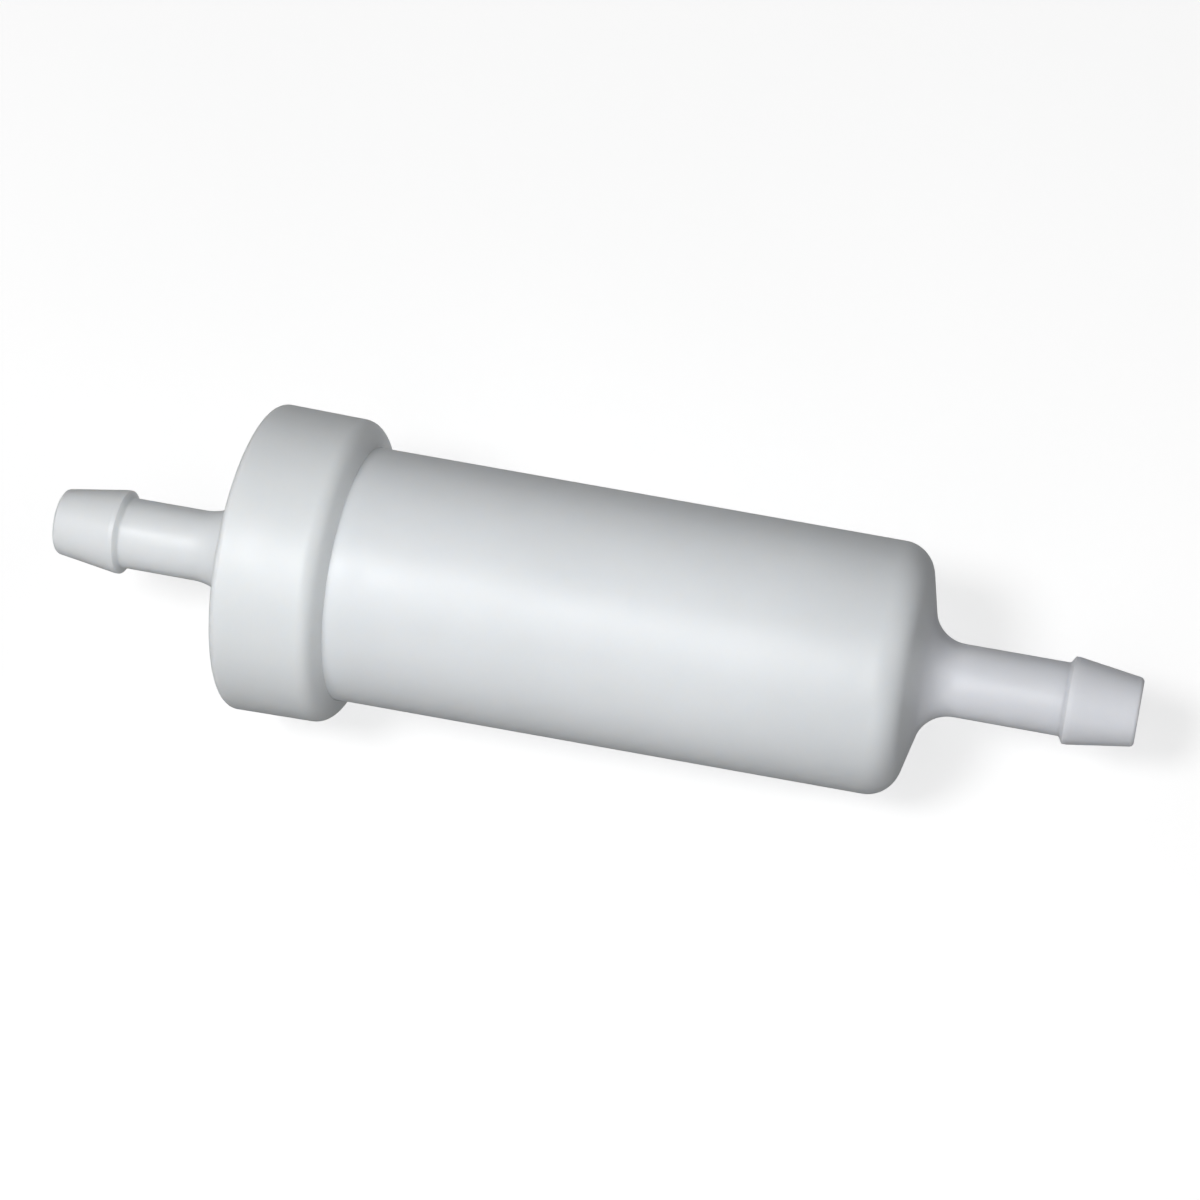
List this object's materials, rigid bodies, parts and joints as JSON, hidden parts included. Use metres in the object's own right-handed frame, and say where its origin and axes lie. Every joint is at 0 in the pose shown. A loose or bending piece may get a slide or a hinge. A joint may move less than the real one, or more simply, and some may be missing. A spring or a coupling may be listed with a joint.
{
  "type": "in-line fuel filter",
  "caption": "In-line fuel filter with a screw cap, a hose barb at each end and a spring-loaded pleated element inside.",
  "frame": {"origin": "on the flow axis, at the middle of the overall length", "axes": "+X along the flow, from the inlet barb on the cap towards the outlet barb on the canister; the filter is round about X"},
  "size_m": [0.1218, 0.0346, 0.0346],
  "materials": {
    "shell_plastic": "satin white fuel-resistant plastic, slightly translucent",
    "cap_plastic": "satin white fuel-resistant plastic, slightly translucent",
    "core_plastic": "plain moulded white",
    "end_cap_plastic": "plain moulded grey-green",
    "bond_resin": "cured amber resin",
    "filter_paper": "resin-treated cream filter paper",
    "seal_rubber": "smooth moulded black",
    "spring_steel": "drawn stainless wire",
    "plate_steel": "pressed stainless sheet",
    "screen_steel": "woven stainless wire"
  },
  "bodies": {
    "canister": {"outlet_canister": "shell_plastic", "cap_o_ring": "seal_rubber", "element_spring": "spring_steel", "element_closed_end": "end_cap_plastic", "closed_end_bond": "bond_resin", "pleated_media": "filter_paper", "seam_clip": "plate_steel", "element_core": "core_plastic", "open_end_bond": "bond_resin", "element_open_end": "end_cap_plastic", "outlet_grommet": "seal_rubber"},
    "seat": {"spring_seat": "plate_steel"},
    "cap": {"inlet_cap": "cap_plastic", "strainer_screen": "screen_steel", "strainer_ring": "core_plastic"}
  },
  "joints": [
    {"name": "cap_travel", "type": "slide", "parent": "canister", "child": "seat", "axis": [-1, 0, 0], "range_m": [0, 0.005], "deforming": ["element_spring"]},
    {"name": "cap_turn", "type": "hinge", "parent": "seat", "child": "cap", "pos_m": [0, 0, 0], "axis": [-1, 0, 0], "range_deg": [0, 720]}
  ],
  "couplings": [
    {"joint": "cap_travel", "follows": "cap_turn", "m_per_rad": 0.00039788}
  ]
}
